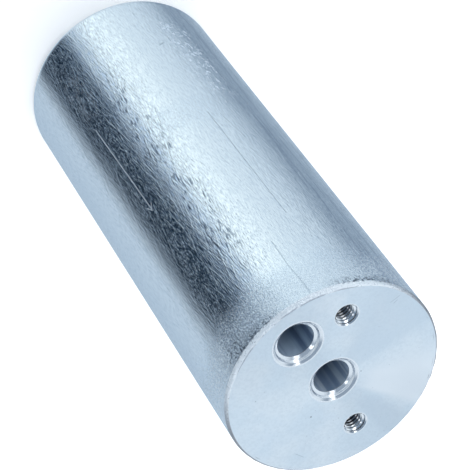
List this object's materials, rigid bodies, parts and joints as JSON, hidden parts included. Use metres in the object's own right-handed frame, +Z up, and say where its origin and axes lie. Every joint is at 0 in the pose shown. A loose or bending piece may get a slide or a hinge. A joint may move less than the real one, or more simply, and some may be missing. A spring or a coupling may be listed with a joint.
{
  "type": "filter drier",
  "caption": "Upright aluminium receiver filter drier: a closed can with a welded head that has a central outlet port, an offset inlet port and tapped clamp holes.",
  "frame": {"origin": "centre of the closed bottom's flat underside", "axes": "+Z up the can's axis to the connection face on the head; +X from the central outlet port towards the inlet port"},
  "size_m": [0.06, 0.06, 0.1528],
  "materials": {
    "can_aluminium": "drawn, with fine lengthwise streaks",
    "head_aluminium": "turned, satin",
    "weld_aluminium": "as welded, rough satin",
    "tube_aluminium": "drawn tube",
    "plate_steel": "zinc plated",
    "spring_steel": "drawn spring wire",
    "filter_felt": "needled felt",
    "desiccant": "matt molecular sieve beads",
    "strainer_plastic": "moulded polyamide",
    "strainer_steel": "fine woven wire"
  },
  "bodies": {
    "root": {"can": "can_aluminium", "head": "head_aluminium", "weld_bead": "weld_aluminium", "pickup_tube": "tube_aluminium", "upper_plate": "plate_steel", "lower_plate": "plate_steel", "compression_spring": "spring_steel", "upper_filter_pad": "filter_felt", "lower_filter_pad": "filter_felt", "desiccant_bed": "desiccant", "strainer_body": "strainer_plastic", "strainer_mesh": "strainer_steel"}
  },
  "joints": []
}
